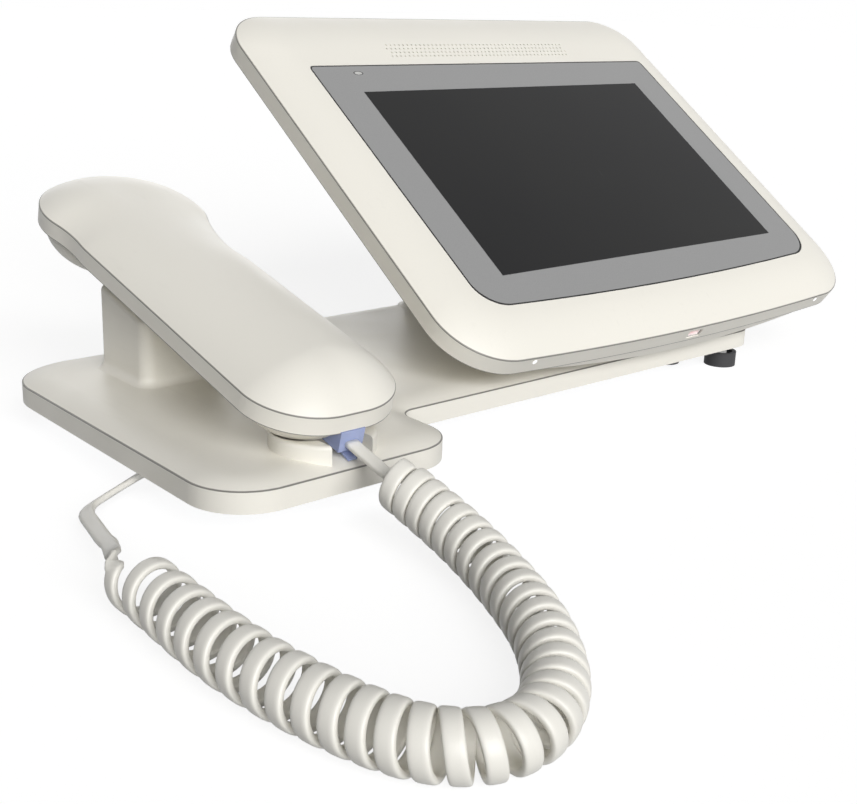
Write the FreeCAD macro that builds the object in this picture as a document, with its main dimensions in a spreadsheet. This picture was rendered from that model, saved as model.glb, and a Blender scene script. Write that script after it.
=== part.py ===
import FreeCAD, Part
import Sketcher
import math
import os
import re
from types import SimpleNamespace

from FreeCAD import Placement, Rotation, Vector

# Nurse call station: an L-shaped desk base, a tilted 10-inch touch display on a
# pedestal, and a corded handset lying on a post and a front cradle.
# Millimetres. X to the right, Y to the back, Z up. The origin lies on the desk,
# under the middle of the station.

doc = FreeCAD.newDocument("NurseCallStation")
sheet = doc.addObject("Spreadsheet::Sheet", "Sizes")

SIZES = [
    # base plate, seen from above
    ("base_left_x", -229.5, "left edge of the handset plate"),
    ("base_right_x", 155, "right edge of the console"),
    ("base_back_y", 76, "back edge"),
    ("plate_front_y", -123.5, "front edge of the handset plate"),
    ("plate_right_x", -112, "right edge of the handset plate"),
    ("console_front_y", -80, "front edge of the console"),
    ("corner_front_left", 26, "corner radius"),
    ("corner_front_right", 22, "corner radius"),
    ("corner_inner", 8, "concave corner radius"),
    ("corner_right", 16, "corner radius"),
    ("corner_back_left", 33, "corner radius"),
    # base plate, heights
    ("skirt_bottom_z", 13, "lower rim of the base cover"),
    ("skirt_high", 9, "height of the straight rim"),
    ("crown_high", 3, "rise of the crowned top"),
    ("crown_wide", 14, "width of the rounded border of the top"),
    ("cover_wall", 2.5, "wall of the base cover"),
    ("fit_gap", 0.3, "gap round parts that drop into a shell"),
    ("steel_thick", 2, "steel bottom plate"),
    ("ballast_long", 120, "ballast bar"),
    ("ballast_deep", 60, "ballast bar"),
    ("ballast_thick", 5, "ballast bar"),
    ("ballast_y", 4, "middle of the ballast bar"),
    # feet
    ("foot_dia", 17.8, "rubber cup"),
    ("foot_high", 8, "rubber cup"),
    ("foot_wall", 2.2, "rubber cup wall and floor"),
    ("foot_post_dia", 7, "post inside the cup"),
    ("foot_front_x", 14.5, "front right foot from the right edge"),
    ("foot_front_y", 13, "front right foot from the front edge"),
    ("foot_inner_x", 38, "inner foot from the right edge"),
    ("foot_inner_y", 35, "inner foot from the front edge"),
    ("foot_back_y", 25, "back feet from the back edge"),
    ("foot_left_x", 44, "left feet from the left edge"),
    ("foot_left_y", 50, "front left foot from the front edge"),
    ("screw_dia", 3, "thread"),
    ("screw_head_dia", 5.6, "head"),
    ("screw_head_high", 1.8, "head"),
    ("boss_dia", 8, "screw boss"),
    ("boss_in", 6, "screw bosses in from the wall"),
    ("boss_front_in", 34, "right front boss behind the front wall"),
    ("boss_back_in", 26, "right back boss before the back wall"),
    ("boss_right_in", 50, "middle bosses right of the handset plate"),
    # handset post
    ("post_wide", 44, "post under the handset"),
    ("post_deep", 44, "post under the handset, front to back"),
    ("post_ear_gap", 25.9, "post ends this far before the ear centre"),
    ("post_corner", 6, "upright corners of the post"),
    ("post_round", 2, "rounding of the post top"),
    ("foot_fillet", 4, "fillet at the foot of the post and pedestal"),
    ("rest_gap", 0.3, "gap between the handset and what carries it"),
    ("plunger_dia", 8, "hook plunger"),
    ("slide_fit", 0.1, "radial running clearance"),
    ("plunger_cap_high", 7, "plunger below its guide"),
    ("switch_high", 9, "hook switch"),
    # front cradle
    ("cradle_half_wide", 22, "half width of the cradle"),
    ("cradle_half_deep", 22.5, "half depth of the cradle"),
    ("cradle_mid_y", -99.5, "middle of the cradle"),
    ("cradle_high", 6.6, "height above the plate"),
    ("cradle_gap", 20, "opening for the plug"),
    ("pocket_gap", 0.9, "side clearance round the handset in the cradle"),
    # pedestal
    ("pedestal_wide", 133, "width"),
    ("pedestal_front_y", -3, "front face"),
    ("pedestal_back_y", 70, "back face"),
    ("pedestal_corner", 12, "upright corners"),
    # display
    ("display_x", 75.5, "middle of the display"),
    ("display_y", 6.7, "middle of the display, glass plane"),
    ("display_z", 119, "middle of the display, glass plane"),
    ("display_tilt", 35, "degrees from level"),
    ("housing_wide", 314.2, "housing"),
    ("housing_top", 126.15, "top edge above the middle"),
    ("housing_low", 131.75, "bottom edge below the middle"),
    ("housing_bow", 2150, "radius of the bowed bottom edge"),
    ("housing_corner_top", 26.5, "corner radius"),
    ("housing_corner_low", 34.5, "corner radius"),
    ("bezel_drop", 8, "edge line behind the glass"),
    ("bezel_side", 25.1, "rounded border at the sides"),
    ("bezel_low", 27.05, "rounded border at the bottom"),
    ("bezel_top", 34.85, "rounded border at the top"),
    ("bezel_inner_corner", 5, "upper corners where the border ends"),
    ("band_thick", 9.3, "straight band round the housing"),
    ("housing_wall", 3, "wall"),
    ("glass_wide", 263.6, "cover glass"),
    ("glass_high", 178.9, "cover glass"),
    ("glass_thick", 1.8, "cover glass"),
    ("glass_low", -14.85, "middle of the glass below the middle of the housing"),
    ("glass_corner_top", 3, "corner radius"),
    ("glass_corner_low", 16.5, "corner radius"),
    ("glass_gap", 0.2, "gap round the glass"),
    ("screen_wide", 217.2, "lit area"),
    ("screen_high", 135.8, "lit area"),
    ("screen_low", -15, "middle of the lit area below the middle of the housing"),
    ("panel_rim", 6, "rim of the panel round the lit area"),
    ("panel_thick", 4.6, "panel"),
    ("frame_thick", 1.5, "steel panel frame"),
    ("board_thick", 1.6, "circuit boards"),
    ("grille_pitch", 3.1, "along a row"),
    ("grille_rows", 4, "rows"),
    ("grille_count", 46, "holes in a row"),
    ("grille_row_step", 3.2, "between rows"),
    ("grille_hole", 1.4, "hole"),
    ("grille_up", 86.8, "middle of the grille above the middle of the housing"),
    ("speaker_wide", 70, "speaker"),
    ("speaker_high", 20, "speaker"),
    ("speaker_thick", 8, "speaker"),
    ("sensor_wide", 6.5, "oval window"),
    ("sensor_high", 3.2, "oval window"),
    ("sensor_x", -103, "oval window"),
    ("sensor_up", 68.1, "oval window"),
    ("port_wide", 11, "service port"),
    ("port_high", 5.2, "service port"),
    ("port_x", 2.8, "service port"),
    ("lamp_dia", 2.6, "indicator lamps in the lower band"),
    ("lamp_x", 115.6, "indicator lamps"),
    ("rear_deep", 24.2, "depth of the rear shell"),
    ("rear_slope", 30, "inset of the rear face"),
    ("chin_half", 108, "half width of the chin"),
    ("chin_deep", 6.2, "depth of the chin"),
    ("chin_high", 14, "height of the chin"),
    ("bracket_thick", 3, "steel bracket"),
    ("bracket_wide", 100, "steel bracket"),
    ("bracket_high", 56, "steel bracket"),
    # handset
    ("handset_x", -168, "middle of the handset"),
    ("handset_y", -121.55, "front end of the handset"),
    ("handset_z", 43.89, "edge line at the front end"),
    ("handset_slope", 14.8, "degrees"),
    ("handset_long", 238.1, "handset"),
    ("grip_half", 34.8, "half width of the grip"),
    ("grip_corner", 29.2, "corner radius of the front end"),
    ("ear_half", 40.2, "radius of the ear end"),
    ("ear_side", 4.2, "ear end to the right of the grip's middle line"),
    ("waist_lead", 60, "bend from the straight side into the waist"),
    ("waist_left", 77.5, "hollow of the left waist"),
    ("waist_left_back", 38, "straight left side ends before the ear centre"),
    ("waist_right", 94.5, "hollow of the right waist"),
    ("waist_right_back", 75, "straight right side ends before the ear centre"),
    ("band_high", 8, "straight band of the handset"),
    ("hand_crown", 14.6, "crown of the handset"),
    ("hand_round", 32, "width of the rounded border"),
    ("crown_lean", -1.2, "degrees, crown falls to the ear"),
    ("face_step", 2.6, "lower shell set in from the band"),
    ("face_deep", 14.4, "depth of the lower shell"),
    ("face_round", 26, "width of its rounded border"),
    ("hand_wall", 2.2, "wall of the handset"),
    ("ear_cup_half", 37, "round ear cup at the band"),
    ("ear_cup_low", 26, "bottom of the ear cup below the edge line"),
    ("ear_cup_round", 21, "width of its rounded border"),
    ("capsule_dia", 30, "ear capsule"),
    ("capsule_high", 9, "ear capsule"),
    ("mic_dia", 9.7, "microphone capsule"),
    ("mic_high", 5, "microphone capsule"),
    ("weight_long", 60, "steel bar in the grip"),
    ("weight_wide", 9, "steel bar in the grip"),
    ("weight_high", 12, "steel bar in the grip"),
    # plug and cord
    ("plug_wide", 11.7, "modular plug"),
    ("plug_long", 21, "modular plug"),
    ("plug_out", 0.4, "part that stands out of the handset"),
    ("plug_top", -10.4, "below the edge line"),
    ("plug_high", 6.2, "modular plug"),
    ("plug_lip", 2.8, "raised lip"),
    ("jack_gap", 0.25, "gap round the plug"),
    ("latch_wide", 4.4, "latch"),
    ("latch_thick", 0.9, "latch"),
    ("latch_root", 9.5, "latch root behind the front end"),
    ("latch_tip", 3.2, "latch tip before the front end"),
    ("latch_drop", 2.4, "fall of the latch to its tip"),
    ("latch_bead", 1.6, "round bead at the latch root"),
    ("cord_dia", 4.5, "round cord with nearly the section of the flat one"),
    ("coil_half", 8.3, "from the coil's axis to the cord's middle"),
    ("lead_long", 14, "straight cord out of the plug"),
]

for row, (alias, number, note) in enumerate(SIZES, 1):
    sheet.set("A%d" % row, note)
    sheet.set("B%d" % row, str(number))
    sheet.setAlias("B%d" % row, alias)
doc.recompute()

d = SimpleNamespace(**{alias: float(sheet.get(alias)) for alias, number, note in SIZES})
ALIASES = sorted((alias for alias, number, note in SIZES), key=len, reverse=True)
WORD = re.compile(r"\b(" + "|".join(ALIASES) + r")\b")


def bind(thing, prop, rule):
    """Ties one property to the sheet; rule is written with bare aliases."""
    thing.setExpression(prop, WORD.sub(r"Sizes.\1", rule))


def value(rule):
    return float(eval_rule(rule))


def eval_rule(rule):
    return sheet.evalExpression(WORD.sub(r"Sizes.\1", rule))


PARTS = []


def node(thing, label, where=None):
    """Names a finished piece and puts it in its place."""
    thing.Label = label
    if where is not None:
        thing.Placement = where
    PARTS.append(thing)
    return thing


def shaped(label, shape, where=None):
    thing = doc.addObject("Part::Feature", label + "_form")
    thing.Shape = shape
    return node(thing, label, where)


def box(name, long, deep, high, where):
    thing = doc.addObject("Part::Box", name)
    bind(thing, "Length", long)
    bind(thing, "Width", deep)
    if isinstance(high, str):
        bind(thing, "Height", high)
    else:
        thing.Height = high
    thing.Placement = where
    return thing


def round_bar(name, dia, high, where):
    thing = doc.addObject("Part::Cylinder", name)
    bind(thing, "Radius", "(" + dia + ") / 2")
    bind(thing, "Height", high)
    thing.Placement = where
    return thing


def cut(name, base, tool):
    thing = doc.addObject("Part::Cut", name)
    thing.Base = base
    thing.Tool = tool
    return thing


def group(name, things):
    thing = doc.addObject("Part::Compound", name)
    thing.Links = things
    return thing


def at(x, y, z):
    return Placement(Vector(x, y, z), Rotation())


# Sketches

def plate_body(name, wide, high, corner_low, corner_top, thick, bow=None):
    """A padded rounded rectangle about its own middle, with its rear face at 0.

    With bow, the bottom edge is an arc of that radius that bulges downwards.
    """
    body = doc.addObject("PartDesign::Body", name)
    sketch = body.newObject("Sketcher::SketchObject", name + "_outline")
    plane = [o for o in body.Origin.OriginFeatures if o.Role == "XY_Plane"][0]
    sketch.AttachmentSupport = (plane, "")
    sketch.MapMode = "FlatFace"
    w = value(wide) / 2
    h = value(high) / 2
    r = value(corner_low)
    q = value(corner_top)
    big = value(bow) if bow else 0
    low_y = -h + r if not bow else big - h - math.sqrt((big - r) ** 2 - (w - r) ** 2)
    bend = math.degrees(math.asin((w - r) / (big - r))) if bow else 0
    corners = [
        (w - r, low_y, r, -90 + bend, 0),
        (w - q, h - q, q, 0, 90),
        (-w + q, h - q, q, 90, 180),
        (-w + r, low_y, r, 180, 270 - bend),
    ]
    ends = []
    for cx, cy, cr, a0, a1 in corners:
        a = math.radians(a0)
        b = math.radians(a1)
        ends.append((Vector(cx + cr * math.cos(a), cy + cr * math.sin(a), 0),
                     Vector(cx + cr * math.cos(b), cy + cr * math.sin(b), 0)))
    axis = Vector(0, 0, 1)
    for i in range(4):
        if i == 0 and bow:
            ring = Part.Circle(Vector(0, big - h, 0), axis, big)
            edge = Part.ArcOfCircle(ring, math.radians(270 - bend), math.radians(270 + bend))
        else:
            edge = Part.LineSegment(ends[i - 1][1], ends[i][0])
        sketch.addGeometry(edge, False)
        cx, cy, cr, a0, a1 = corners[i]
        ring = Part.Circle(Vector(cx, cy, 0), axis, cr)
        sketch.addGeometry(Part.ArcOfCircle(ring, math.radians(a0), math.radians(a1)), False)
    for i in range(4):
        sketch.addConstraint(Sketcher.Constraint("Tangent", 2 * i, 2, 2 * i + 1, 1))
        sketch.addConstraint(Sketcher.Constraint("Tangent", 2 * i + 1, 2, (2 * i + 2) % 8, 1))
    sketch.addConstraint(Sketcher.Constraint("Vertical", 2))
    sketch.addConstraint(Sketcher.Constraint("Horizontal", 4))
    sketch.addConstraint(Sketcher.Constraint("Vertical", 6))
    sketch.addConstraint(Sketcher.Constraint("Equal", 1, 7))
    sketch.addConstraint(Sketcher.Constraint("Equal", 3, 5))
    rules = [
        (Sketcher.Constraint("Radius", 1, r), corner_low),
        (Sketcher.Constraint("Radius", 3, q), corner_top),
        (Sketcher.Constraint("DistanceX", 6, 1, 2, 1, 2 * w), wide),
        (Sketcher.Constraint("DistanceX", -1, 1, 2, 1, w), "(" + wide + ") / 2"),
        (Sketcher.Constraint("DistanceY", -1, 1, 4, 1, h), "(" + high + ") / 2"),
    ]
    if bow:
        sketch.addConstraint(Sketcher.Constraint("PointOnObject", 0, 3, -2))
        rules.append((Sketcher.Constraint("Radius", 0, big), bow))
        rules.append((Sketcher.Constraint("DistanceY", -1, 1, 0, 3, big - h), bow + " - (" + high + ") / 2"))
    else:
        sketch.addConstraint(Sketcher.Constraint("Horizontal", 0))
        rules.append((Sketcher.Constraint("DistanceY", 0, 1, 4, 1, 2 * h), high))
    for constraint, rule in rules:
        number = sketch.addConstraint(constraint)
        bind(sketch, "Constraints[%d]" % number, rule)
    pad = body.newObject("PartDesign::Pad", name + "_pad")
    pad.Profile = sketch
    bind(pad, "Length", thick)
    body.Tip = pad
    return body


# Outlines and lofts

def rounded(points, radii, inset, z):
    """Closed outline with rounded corners, drawn in by inset; anticlockwise."""
    n = len(points)
    edges = []
    for i in range(n):
        a = Vector(points[i][0], points[i][1], 0)
        b = Vector(points[(i + 1) % n][0], points[(i + 1) % n][1], 0)
        u = (b - a).normalize()
        edges.append((a + Vector(-u.y, u.x, 0) * inset, u))
    corners = []
    for i in range(n):
        p, u = edges[i - 1]
        q, v = edges[i]
        cross = u.x * v.y - u.y * v.x
        along = ((q.x - p.x) * v.y - (q.y - p.y) * v.x) / cross
        corner = p + u * along
        radius = max(radii[i] - inset, 0.2) if cross > 0 else radii[i] + inset
        turn = math.acos(max(-1.0, min(1.0, u.dot(v))))
        back = radius * math.tan(turn / 2)
        start = corner - u * back
        end = corner + v * back
        side = 1 if cross > 0 else -1
        centre = start + Vector(-u.y, u.x, 0) * radius * side
        middle = centre + (corner - centre).normalize() * radius
        corners.append((start, middle, end))
    lift = Vector(0, 0, z)
    wire = []
    for i in range(n):
        start, middle, end = corners[i]
        wire.append(Part.Arc(start + lift, middle + lift, end + lift).toShape())
        wire.append(Part.LineSegment(end + lift, corners[(i + 1) % n][0] + lift).toShape())
    return Part.Wire(wire)


def quarter(width, height, steps=6):
    """Inset and rise along an elliptical quarter, from its foot to its top."""
    rules = []
    for k in range(steps + 1):
        a = math.radians(90) * k / steps
        rules.append((width * (1 - math.cos(a)), height * math.sin(a)))
    return rules


def crown(width, height, steps=6):
    """Inset and rise along a flat circular arc that ends level, from its foot to its top."""
    whole = 2 * math.atan(height / width)
    rules = []
    for k in range(steps + 1):
        a = whole * (1 - k / steps)
        rules.append((width * (1 - math.sin(a) / math.sin(whole)),
                      height * (1 - (1 - math.cos(a)) / (1 - math.cos(whole)))))
    return rules


def bowed(w, low, top, r_low, r_top, bow, z):
    """Rounded rectangle whose bottom edge is an arc of radius bow; anticlockwise."""
    mid_y = bow - low
    low_y = mid_y - math.sqrt((bow - r_low) ** 2 - (w - r_low) ** 2)
    bend = math.asin((w - r_low) / (bow - r_low))

    def spot(cx, cy, radius, a):
        return Vector(cx + radius * math.cos(a), cy + radius * math.sin(a), z)

    def arc(cx, cy, radius, a, b):
        return Part.Arc(spot(cx, cy, radius, a), spot(cx, cy, radius, (a + b) / 2),
                        spot(cx, cy, radius, b)).toShape()

    down = -math.pi / 2
    right_low = spot(w - r_low, low_y, r_low, 0)
    left_low = spot(-w + r_low, low_y, r_low, math.pi)
    return Part.Wire([
        arc(0, mid_y, bow, down - bend, down + bend),
        arc(w - r_low, low_y, r_low, down + bend, 0),
        Part.LineSegment(right_low, spot(w - r_top, top - r_top, r_top, 0)).toShape(),
        arc(w - r_top, top - r_top, r_top, 0, -down),
        Part.LineSegment(Vector(w - r_top, top, z), Vector(-w + r_top, top, z)).toShape(),
        arc(-w + r_top, top - r_top, r_top, -down, math.pi),
        Part.LineSegment(spot(-w + r_top, top - r_top, r_top, math.pi), left_low).toShape(),
        arc(-w + r_low, low_y, r_low, math.pi, 3 * math.pi / 2 - bend),
    ])


def prism(wire, up):
    return Part.Face(wire).extrude(up)


def dome(outline, low, edge, width, height):
    """A straight wall from low to edge with a rounded border above it."""
    wall = prism(outline(0, low), Vector(0, 0, edge - low))
    sections = [outline(inset, edge + rise) for inset, rise in crown(width, height)]
    cap = Part.makeLoft(sections, True, False)
    return wall.fuse(cap).removeSplitter()


def above(level, where):
    """Everything above a level of a tilted frame."""
    room = Part.makeBox(4 * span, 4 * span, 2 * span, Vector(-2 * span, -2 * span, level))
    room.Placement = where
    return room


def flare(points, radii, low, radius):
    """The hollow fillet round the foot of an upright block."""
    sections = []
    for k in range(6):
        a = math.radians(90) * k / 5
        out = radius * (1 - math.sin(a))
        sections.append(rounded(points, radii, -out, low + radius * (1 - math.cos(a))))
    return Part.makeLoft(sections, True, False)


def rectangle(x0, y0, x1, y1):
    return [(x0, y0), (x1, y0), (x1, y1), (x0, y1)]


def block(x0, y0, z0, x1, y1, z1):
    return Part.makeBox(x1 - x0, y1 - y0, z1 - z0, Vector(x0, y0, z0))


def bar(x, y, z0, z1, dia):
    return Part.makeCylinder(dia / 2, z1 - z0, Vector(x, y, z0))


# Placements

span = d.base_right_x - d.base_left_x
tilt = Rotation(Vector(1, 0, 0), d.display_tilt)
display_at = Placement(Vector(d.display_x, d.display_y, d.display_z), tilt)
lean = Rotation(Vector(1, 0, 0), d.handset_slope)
handset_at = Placement(Vector(d.handset_x, d.handset_y, d.handset_z), lean)


def on_display(x, up, out):
    return display_at.multiply(at(x, up, out))


def on_handset(x, along, up):
    return handset_at.multiply(at(x, along, up))


# Base

base_points = [
    (d.base_left_x, d.plate_front_y),
    (d.plate_right_x, d.plate_front_y),
    (d.plate_right_x, d.console_front_y),
    (d.base_right_x, d.console_front_y),
    (d.base_right_x, d.base_back_y),
    (d.base_left_x, d.base_back_y),
]
base_radii = [
    d.corner_front_left,
    d.corner_front_right,
    d.corner_inner,
    d.corner_right,
    d.corner_right,
    d.corner_back_left,
]
edge_z = d.skirt_bottom_z + d.skirt_high
top_z = edge_z + d.crown_high
plate_top_z = d.skirt_bottom_z + d.steel_thick
hollow_top_z = edge_z - 0.8

base_outline = lambda inset, z: rounded(base_points, base_radii, inset, z)
cover = dome(base_outline, d.skirt_bottom_z, edge_z, d.crown_wide, d.crown_high)


def cup_form(wall):
    """The ear cup, a round dome below the band; or its hollow, or with a gap round it."""
    wide = d.ear_cup_half - wall
    deep = d.ear_cup_low - d.band_high - wall
    rim = [Vector(wide - inset, 0, -d.band_high - drop) for inset, drop in quarter(d.ear_cup_round, deep)]
    curve = Part.BSplineCurve()
    curve.interpolate(rim)
    low = Vector(0, 0, rim[-1].z)
    high = Vector(0, 0, rim[0].z)
    edges = [curve.toShape()]
    for a, b in ((rim[-1], low), (low, high), (high, rim[0])):
        edges.append(Part.LineSegment(a, b).toShape())
    form = Part.Face(Part.Wire(edges)).revolve(Vector(0, 0, 0), Vector(0, 0, 1), 360)
    form.translate(Vector(d.ear_side, ear_at, 0))
    return form


# the underside of the grip, which the post and the cradle carry
grip_low = -d.band_high - d.face_deep
ear_at = d.handset_long - d.ear_half
post_back_y = on_handset(0, ear_at - d.post_ear_gap, grip_low - d.rest_gap).Base.y
post_front_y = post_back_y - d.post_deep
post_points = rectangle(d.handset_x - d.post_wide / 2, post_front_y, d.handset_x + d.post_wide / 2,
                        post_back_y)
post_radii = [d.post_corner] * 4
pedestal_points = rectangle(d.display_x - d.pedestal_wide / 2, d.pedestal_front_y,
                            d.display_x + d.pedestal_wide / 2, d.pedestal_back_y)
pedestal_radii = [d.pedestal_corner] * 4

post = prism(rounded(post_points, post_radii, 0, edge_z), Vector(0, 0, span))
post = post.cut(above(grip_low - d.rest_gap, handset_at))
top_edges = [e for e in post.Edges if min(v.Z for v in e.Vertexes) > top_z + 5
             and not (len(e.Vertexes) == 2 and abs(e.Vertexes[0].X - e.Vertexes[1].X) < 1e-4
                      and abs(e.Vertexes[0].Y - e.Vertexes[1].Y) < 1e-4)]
post = post.makeFillet(d.post_round, top_edges)
cup_near = cup_form(-2 * d.rest_gap)
cup_near.Placement = handset_at.multiply(cup_near.Placement)
post = post.cut(cup_near)
post = post.fuse(flare(post_points, post_radii, top_z - 0.05, d.foot_fillet))

# the pedestal ends under the bracket on the sloping back of the display
back_b = -d.bezel_drop - d.band_thick - d.rear_deep
pedestal = prism(rounded(pedestal_points, pedestal_radii, 0, edge_z), Vector(0, 0, span))
pedestal = pedestal.cut(above(back_b - d.bracket_thick, display_at))
pedestal = pedestal.fuse(flare(pedestal_points, pedestal_radii, top_z - 0.05, d.foot_fillet))

# the cradle: a round-fronted rest with an opening for the plug
cradle_top = top_z + d.cradle_high
oval = Part.Ellipse(Vector(0, 0, 0), max(d.cradle_half_wide, d.cradle_half_deep),
                    min(d.cradle_half_wide, d.cradle_half_deep))
turn = Rotation(Vector(0, 0, 1), 90 if d.cradle_half_deep > d.cradle_half_wide else 0)
oval_wire = Part.Wire([oval.toShape()])
oval_wire.Placement = Placement(Vector(d.handset_x, d.cradle_mid_y, edge_z - 2), turn)
cradle = prism(oval_wire, Vector(0, 0, cradle_top - edge_z + 2))
round_edges = [e
               for e in cradle.Edges if abs(e.BoundBox.ZMin - cradle_top) < 1e-3 and e.BoundBox.ZLength < 1e-3]
cradle = cradle.makeFillet(1.5, round_edges)
cradle = cradle.cut(block(d.handset_x - d.cradle_gap / 2, d.plate_front_y - 5, edge_z - 3,
                          d.handset_x + d.cradle_gap / 2, d.cradle_mid_y, cradle_top + 5))


# Handset

def hand_side(inset, shift, hollow, back):
    """One side of the handset's plan, from the middle of the front end to the ear's far end."""
    w = d.grip_half - inset
    r = max(d.grip_corner - inset, 0.3)
    ear = d.ear_half - inset
    lead_at = Vector(d.grip_half - d.waist_lead, ear_at - back, 0)
    ear_mid = Vector(shift, ear_at, 0)

    # the hollow of the waist touches both the bend before it and the ear end
    reach = d.waist_lead + hollow
    other = d.ear_half + hollow
    gap = ear_mid - lead_at
    along = (reach ** 2 - other ** 2 + gap.Length ** 2) / (2 * gap.Length)
    way = Vector(gap).normalize()
    hollow_at = lead_at + way * along + Vector(way.y, -way.x, 0) * math.sqrt(reach ** 2 - along ** 2)
    lead_turn = math.atan2(hollow_at.y - lead_at.y, hollow_at.x - lead_at.x)
    ear_turn = math.atan2(hollow_at.y - ear_mid.y, hollow_at.x - ear_mid.x)
    hollow_turn = (lead_turn + ear_turn) / 2 + math.pi

    def spot(middle, radius, a):
        return middle + Vector(radius * math.cos(a), radius * math.sin(a), 0)

    corner_at = Vector(w - r, inset + r, 0)
    front = spot(corner_at, r, -math.pi / 2)
    side = spot(corner_at, r, 0)
    bend = spot(lead_at, d.waist_lead - inset, 0)
    waist = spot(lead_at, d.waist_lead - inset, lead_turn)
    joint = spot(ear_mid, ear, ear_turn)
    ear_side = spot(ear_mid, ear, math.radians(35))
    ear_top = spot(ear_mid, ear, math.pi / 2)
    return [
        ("line", Vector(0, inset, 0), None, front),
        ("arc", front, spot(corner_at, r, -math.pi / 4), side),
        ("line", side, None, bend),
        ("arc", bend, spot(lead_at, d.waist_lead - inset, lead_turn / 2), waist),
        ("arc", waist, spot(hollow_at, hollow + inset, hollow_turn), joint),
        ("arc", joint, spot(ear_mid, ear, (ear_turn + math.radians(35)) / 2), ear_side),
        ("arc", ear_side, spot(ear_mid, ear, math.radians(62.5)), ear_top),
    ]


def hand_outline(inset, up, lean_angle=0.0):
    """Plan of the handset: a grip with a broad round end, a waist and a round ear end."""
    def flip(p):
        return Vector(-p.x, p.y, 0)

    right = hand_side(inset, d.ear_side, d.waist_right, d.waist_right_back)
    other = hand_side(inset, -d.ear_side, d.waist_left, d.waist_left_back)
    left = [(kind, flip(b), None if m is None else flip(m), flip(a)) for kind, a, m, b in reversed(other)]
    rise = math.tan(math.radians(lean_angle))
    edges = []
    for kind, a, m, b in right + left:
        a, b = [Vector(p.x, p.y, up + p.y * rise) for p in (a, b)]
        if kind == "line":
            edges.append(Part.LineSegment(a, b).toShape())
        else:
            edges.append(Part.Arc(a, Vector(m.x, m.y, up + m.y * rise), b).toShape())
    return Part.Wire(edges)


def hand_top(wall):
    """Upper shell's outer form, or its hollow when wall is not 0."""
    sections = []
    high = d.hand_crown - wall
    for inset, rise in crown(d.hand_round - wall * 2, high):
        sections.append(hand_outline(wall + inset, rise, d.crown_lean * rise / high))
    cap = Part.makeLoft(sections, True, False)
    low = -d.band_high - (0 if wall == 0 else 0.01)
    wall_part = prism(hand_outline(wall, low), Vector(0, 0, -low))
    return wall_part.fuse(cap).removeSplitter()


def hand_low(wall):
    """Lower shell's outer form, or its hollow when wall is not 0."""
    sections = []
    for inset, drop in crown(d.face_round - wall * 0.6, d.face_deep - wall):
        sections.append(hand_outline(d.face_step + wall + inset, -d.band_high - drop))
    sections.reverse()
    cap = Part.makeLoft(sections, True, False)
    if wall:
        cap = cap.fuse(prism(hand_outline(d.face_step + wall, -d.band_high - 0.01), Vector(0, 0, 0.02)))
    return cap


hand_upper = hand_top(0).cut(hand_top(d.hand_wall))
ear_cup = cup_form(0)
ear_room = cup_form(d.hand_wall)
low_room = hand_low(d.hand_wall).fuse(ear_room)
hand_lower = hand_low(0).fuse(ear_cup).cut(low_room)
hand_lower = hand_lower.common(block(-span, -span, -span, span, span, -d.band_high))

# room for the plug and its latch in the front end
plug_half = d.plug_wide / 2
plug_low = d.plug_top - d.plug_high
plug_front = -d.plug_out
plug_back = plug_front + d.plug_long
lip_deep = 3.0
slot = block(-plug_half - d.jack_gap, -20, plug_low - d.jack_gap, plug_half + d.jack_gap,
             plug_back + d.jack_gap, d.plug_top + d.jack_gap)
lip_room = block(-plug_half - d.jack_gap, -20, plug_low, plug_half + d.jack_gap,
                 plug_front + lip_deep + d.jack_gap, d.plug_top + d.plug_lip + d.jack_gap)
slot = slot.fuse(lip_room)
latch_room = block(-d.latch_wide / 2 - 0.6, -20, plug_low - 4, d.latch_wide / 2 + 0.6, d.latch_root + 4,
                   plug_low)
hand_upper = hand_upper.cut(slot)
hand_lower = hand_lower.cut(slot).cut(latch_room)

# holes in front of the ear capsule
ear_holes = []
for k in range(7):
    a = math.radians(60 * k)
    out = 0 if k == 6 else 6
    ear_holes.append(bar(d.ear_side + out * math.cos(a), ear_at + out * math.sin(a), -d.ear_cup_low - 1,
                         -d.ear_cup_low + d.hand_wall + 1, 1.8))
mic_at = 38
mic_hole = bar(0, mic_at, grip_low - 1, grip_low + d.hand_wall + 1, 1.6)
hand_lower = hand_lower.cut(Part.makeCompound(ear_holes + [mic_hole]))

shaped("handset_back_shell", hand_upper, handset_at)
shaped("handset_face_shell", hand_lower, handset_at)

node(round_bar("ear_capsule", "capsule_dia", "capsule_high", at(0, 0, 0)), "earpiece_capsule",
     on_handset(d.ear_side, ear_at, -d.ear_cup_low + d.hand_wall + d.rest_gap))
node(round_bar("mic", "mic_dia", "mic_high", at(0, 0, 0)), "mic_capsule",
     on_handset(0, mic_at, grip_low + d.hand_wall))
node(box("grip_weight", "weight_wide", "weight_long", "weight_high", at(0, 0, 0)), "handset_weight",
     on_handset(-d.weight_wide / 2, 70, grip_low + d.hand_wall))

# jack block round the plug, inside both shells
jack = block(-plug_half - 2.4, 8.5, plug_low - 4.5, plug_half + 2.4, plug_back + 2.5, d.plug_top + 2)
jack = jack.cut(slot).cut(latch_room)
jack = jack.cut(hand_low(0).cut(hand_low(d.hand_wall)))
outer_room = prism(hand_outline(0, -60), Vector(0, 0, 60 - d.band_high))
inner_room = prism(hand_outline(d.face_step + d.hand_wall + 1.4, -60), Vector(0, 0, 60 - d.band_high))
jack = jack.cut(outer_room.cut(inner_room))
jack = max(jack.Solids, key=lambda s: s.Volume)
shaped("handset_jack", jack, handset_at)

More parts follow.
